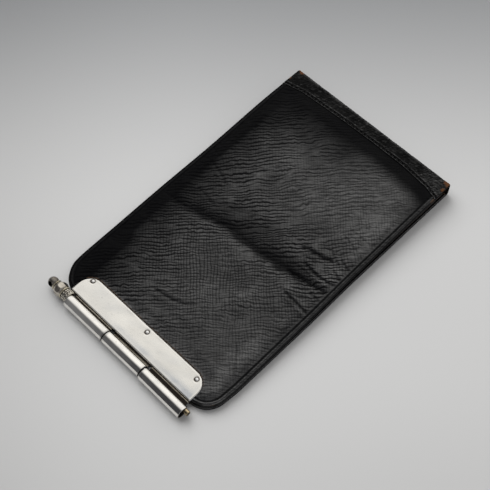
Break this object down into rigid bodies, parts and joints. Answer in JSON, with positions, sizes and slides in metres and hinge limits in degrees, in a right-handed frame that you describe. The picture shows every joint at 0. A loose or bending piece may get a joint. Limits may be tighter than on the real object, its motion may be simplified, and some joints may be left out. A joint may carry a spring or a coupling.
{
  "type": "leather card case",
  "caption": "Slim black leather card case with a square spine, metal clasp plates, and a propelling pencil that locks the covers through tube knuckles.",
  "frame": {"origin": "middle of the back cover's flat outer face, on which the case lies", "axes": "+X along the clasp knuckles towards the open end of the tube, +Y from the clasp end to the spine, +Z out of the back cover up through the case"},
  "size_m": [0.0837, 0.1449, 0.0076],
  "materials": {
    "case_leather": "satin",
    "lining_leather": "matte",
    "board": "matte",
    "silver": "polished",
    "tarnished_silver": "satin",
    "gilt": "polished",
    "paper": "matte",
    "binding_cloth": "matte",
    "graphite": "satin"
  },
  "bodies": {
    "back_cover": {"back_leather": "case_leather", "back_board": "board", "back_lining": "lining_leather", "back_spine_strip": "case_leather", "back_pocket": "lining_leather", "back_plate": "silver", "back_inner_plate": "silver", "back_rivets": "silver", "middle_knuckle": "silver"},
    "spine": {"spine_leather": "case_leather", "spine_lining": "lining_leather"},
    "front_cover": {"front_leather": "case_leather", "front_board": "board", "front_lining": "lining_leather", "front_spine_strip": "case_leather", "card_pocket": "lining_leather", "front_plate": "silver", "front_inner_plate": "silver", "front_rivets": "silver", "left_knuckle": "silver", "right_knuckle": "silver"},
    "note_pad": {"pad_card": "board", "pad_leaves": "paper", "pad_binding": "binding_cloth"},
    "pencil": {"pencil_barrel": "silver", "pencil_nozzle": "gilt", "milled_collar": "tarnished_silver"},
    "pencil_head": {"collar_ring": "gilt", "turning_head": "tarnished_silver", "finial_ring": "gilt", "finial_ball": "tarnished_silver", "drive_screw": "gilt"},
    "lead_feed": {"lead_carrier": "gilt", "lead": "graphite"}
  },
  "joints": [
    {"name": "spine_fold", "type": "hinge", "parent": "back_cover", "child": "spine", "pos_m": [0, 0.06835, 0.00075], "axis": [-1, 0, 0], "range_deg": [0, 90]},
    {"name": "cover_fold", "type": "hinge", "parent": "spine", "child": "front_cover", "pos_m": [0, 0.06835, 0.00685], "axis": [-1, 0, 0], "range_deg": [0, 90]},
    {"name": "pad_slide", "type": "slide", "parent": "back_cover", "child": "note_pad", "axis": [1, 0, 0], "range_m": [0, 0.085]},
    {"name": "pencil_slide", "type": "slide", "parent": "back_cover", "child": "pencil", "axis": [-0.9999, 0.0107, 0.0054], "range_m": [0, 0.085]},
    {"name": "head_twist", "type": "hinge", "parent": "pencil", "child": "pencil_head", "pos_m": [-0.0303, -0.07175, 0.00322], "axis": [0.9999, -0.0107, -0.0054], "range_deg": [0, 2160]},
    {"name": "lead_slide", "type": "slide", "parent": "pencil", "child": "lead_feed", "axis": [0.9999, -0.0107, -0.0054], "range_m": [0, 0.006]}
  ],
  "couplings": [
    {"joint": "spine_fold", "follows": "cover_fold", "ratio": 1},
    {"joint": "head_twist", "follows": "lead_slide", "rad_per_m": 6283.2}
  ]
}
